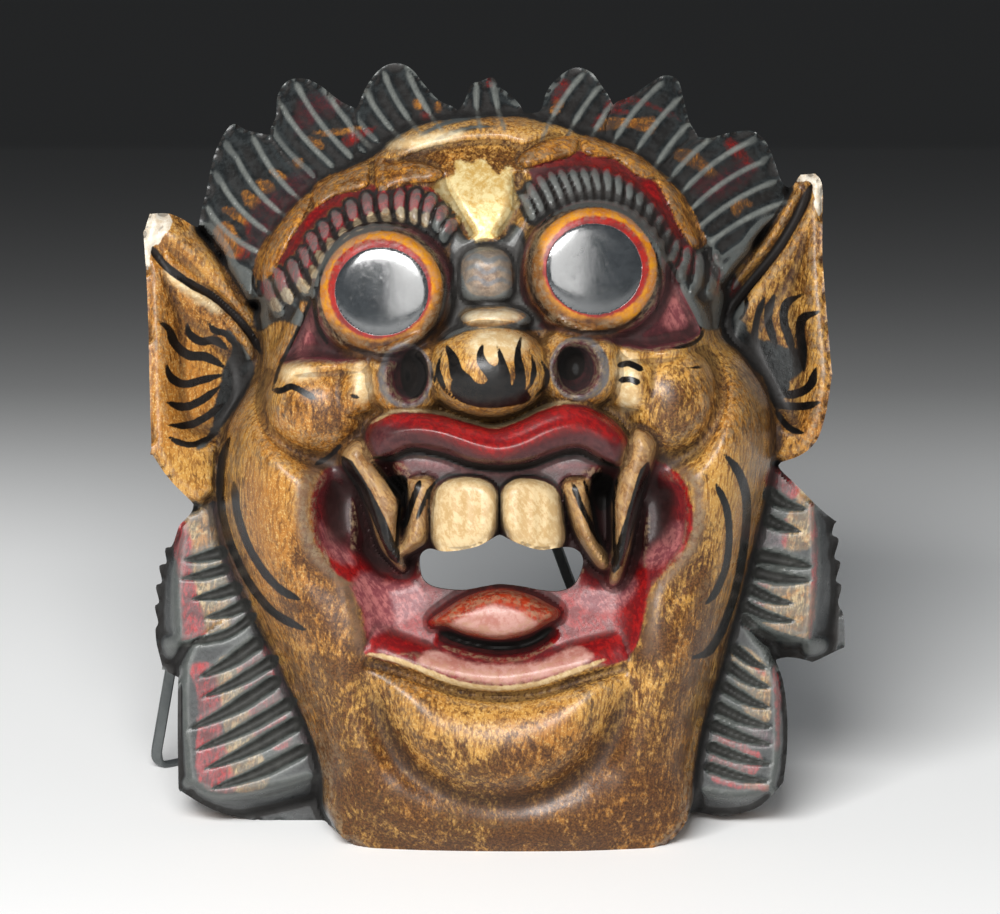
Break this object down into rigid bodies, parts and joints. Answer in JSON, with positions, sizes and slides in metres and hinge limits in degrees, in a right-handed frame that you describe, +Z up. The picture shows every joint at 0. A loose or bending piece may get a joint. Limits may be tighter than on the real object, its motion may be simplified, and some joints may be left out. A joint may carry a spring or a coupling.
{
  "type": "carved barong mask on an easel",
  "caption": "Carved and painted wooden demon-face mask with big ears, tusks and hair tufts, hollow behind, leaning on a bent-strip metal easel.",
  "frame": {"origin": "middle of the flat under the chin, on the surface that the mask and its easel stand on", "axes": "+Z up, -Y the way the face looks, +X to the right of a viewer who faces the mask"},
  "size_m": [0.2415, 0.2076, 0.2568],
  "materials": {
    "painted_wood": "painted and varnished: worn gold-brown with black, red, plum, cream and a patch of gold leaf",
    "grey_steel": "satin dark grey"
  },
  "bodies": {
    "root": {"mask": "painted_wood", "stand": "grey_steel"}
  },
  "joints": []
}
